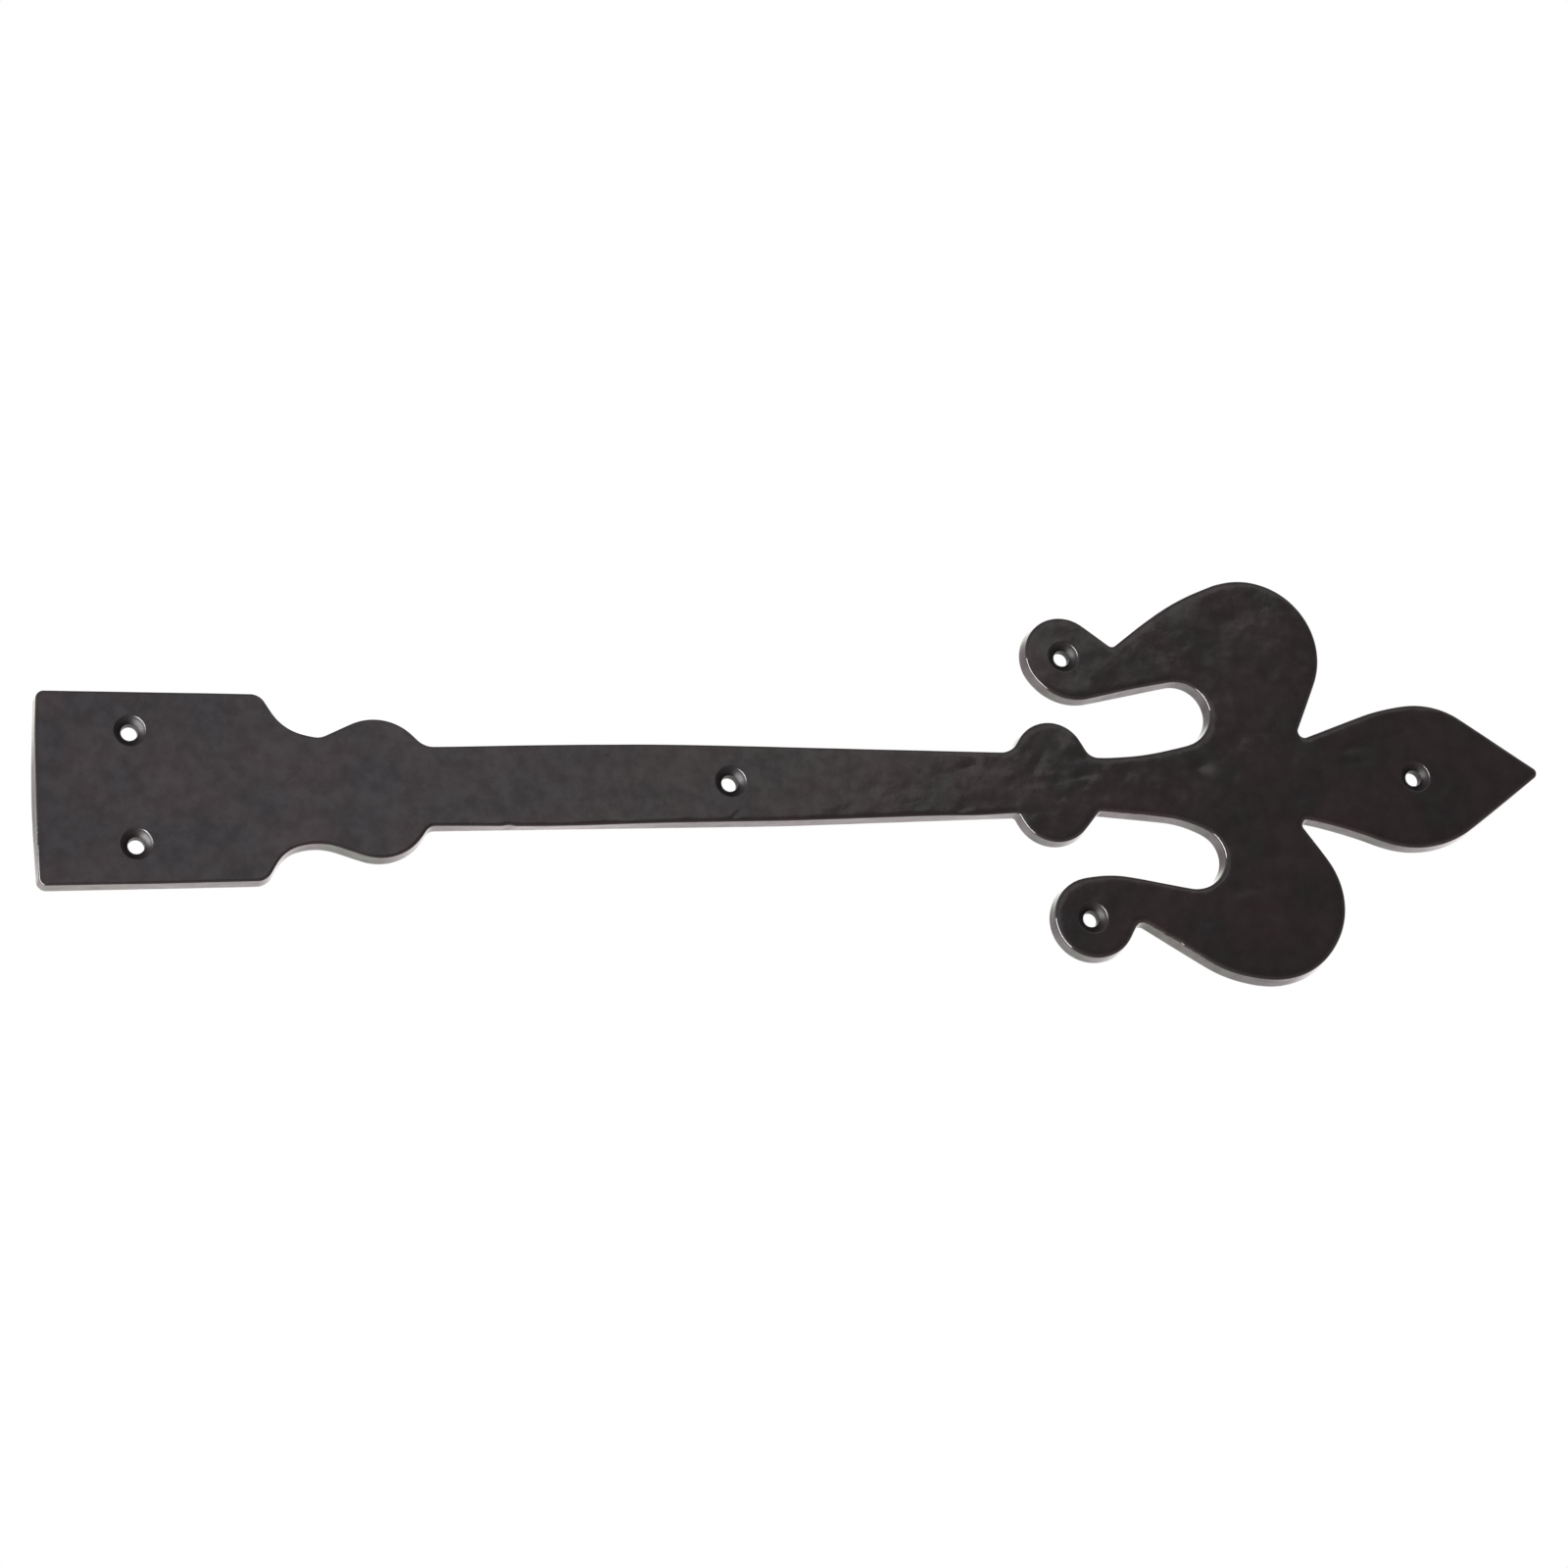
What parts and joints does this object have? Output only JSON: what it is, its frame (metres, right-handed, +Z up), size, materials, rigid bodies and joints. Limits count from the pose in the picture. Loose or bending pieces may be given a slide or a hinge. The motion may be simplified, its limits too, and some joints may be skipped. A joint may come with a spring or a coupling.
{
  "type": "false strap hinge",
  "caption": "Flat black cast-iron strap hinge front with a square tail, a tapered strap and a fleur-de-lis head, countersunk for face-fixing screws.",
  "frame": {"origin": "on the back face that lies against the door, halfway along the strap", "axes": "+X along the strap to the leaf's tip, +Y into the door, +Z up across the strap"},
  "size_m": [0.45, 0.0055, 0.1252],
  "materials": {
    "black_paint": "satin black paint over a softly uneven casting, rounded front edges"
  },
  "bodies": {
    "root": {"hinge_strap": "black_paint"}
  },
  "joints": []
}
